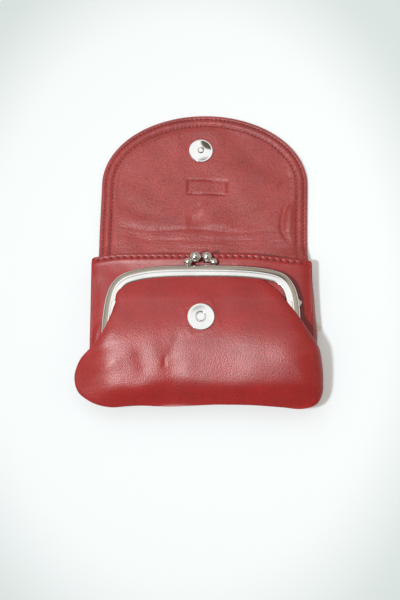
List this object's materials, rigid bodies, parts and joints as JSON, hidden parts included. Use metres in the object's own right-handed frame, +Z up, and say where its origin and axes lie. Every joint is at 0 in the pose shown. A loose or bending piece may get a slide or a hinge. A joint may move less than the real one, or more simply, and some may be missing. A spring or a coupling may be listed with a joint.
{
  "type": "kiss-lock coin purse",
  "caption": "Leather purse with a framed kiss-lock coin pouch on its front, a fold-over flap with a magnetic snap, and zip pockets.",
  "frame": {"origin": "on the back's flat rest face, straight below the kiss-lock frame's hinge line, on the purse's middle plane", "axes": "+X to the right seen from the front, +Y from the purse's bottom towards the open flap's tip, +Z up from the table, out of the purse's front"},
  "size_m": [0.1279, 0.1645, 0.0268],
  "materials": {
    "red_leather": "smooth grained leather, semi matt",
    "lining_leather": "soft matt leather",
    "lining_cloth": "thin woven lining",
    "zip_tape": "woven tape",
    "nickel": "bright nickel plate",
    "snap_metal": "polished plate",
    "magnet": "bare ferrite",
    "paper_cord": "twisted paper"
  },
  "bodies": {
    "purse": {"back_panel": "red_leather", "rear_zip_bag": "lining_cloth", "body_gusset": "red_leather", "front_zip_bag": "lining_cloth", "front_panel": "red_leather", "front_panel_hem": "red_leather", "rear_zip_upper_tape": "zip_tape", "rear_zip_lower_tape": "zip_tape", "rear_zip_upper_teeth": "nickel", "rear_zip_lower_teeth": "nickel", "rear_zip_bottom_stop": "nickel", "rear_zip_top_stop": "nickel", "front_zip_upper_tape": "zip_tape", "front_zip_lower_tape": "zip_tape", "front_zip_upper_teeth": "nickel", "front_zip_lower_teeth": "nickel", "front_zip_bottom_stop": "nickel", "front_zip_top_stop": "nickel", "frame_rear_leaf": "nickel", "rear_channel_cord": "paper_cord", "hinge_pin_right": "nickel", "hinge_pin_left": "nickel", "rear_clasp": "nickel", "pouch_rear": "red_leather", "pouch_lining_rear": "lining_cloth", "pouch_front": "red_leather", "pouch_lining_front": "lining_cloth"},
    "flap_spine": {"spine_outer": "red_leather", "spine_lining": "lining_leather"},
    "flap": {"flap_outer": "red_leather", "flap_lining": "lining_leather", "flap_snap_plate": "snap_metal", "flap_snap_disc": "snap_metal"},
    "front_leaf": {"frame_front_leaf": "nickel", "front_channel_cord": "paper_cord", "front_clasp": "nickel", "pouch_mouth": "red_leather", "pouch_lining_mouth": "lining_cloth", "pouch_snap_cap": "snap_metal", "pouch_snap_magnet": "magnet", "pouch_snap_plate": "snap_metal"},
    "front_slider": {"front_zip_slider": "nickel"},
    "front_pull": {"front_zip_pull": "nickel"},
    "rear_slider": {"rear_zip_slider": "nickel"},
    "rear_pull": {"rear_zip_pull": "nickel"}
  },
  "joints": [
    {"name": "flap_fold", "type": "hinge", "parent": "purse", "child": "flap_spine", "pos_m": [0, 0.061, 0.0027], "axis": [1, 0, 0], "range_deg": [0, 90]},
    {"name": "flap_close", "type": "hinge", "parent": "flap_spine", "child": "flap", "pos_m": [0, 0.0867, 0.0027], "axis": [1, 0, 0], "range_deg": [0, 90]},
    {"name": "frame_open", "type": "hinge", "parent": "purse", "child": "front_leaf", "pos_m": [0, 0, 0.0196], "axis": [-1, 0, 0], "range_deg": [-70, 0]},
    {"name": "front_zip_slide", "type": "slide", "parent": "purse", "child": "front_slider", "axis": [1, 0, 0], "range_m": [-0.07, 0]},
    {"name": "front_pull_swivel", "type": "hinge", "parent": "front_slider", "child": "front_pull", "pos_m": [0.0348, 0.0424, 0.0146], "axis": [0, 0, 1], "range_deg": [-12, 33]},
    {"name": "rear_zip_slide", "type": "slide", "parent": "purse", "child": "rear_slider", "axis": [1, 0, 0], "range_m": [-0.093, 0]},
    {"name": "rear_pull_swivel", "type": "hinge", "parent": "rear_slider", "child": "rear_pull", "pos_m": [0.048, 0.0353, 0.0015], "axis": [0, 0, 1], "range_deg": [0, 45]}
  ]
}
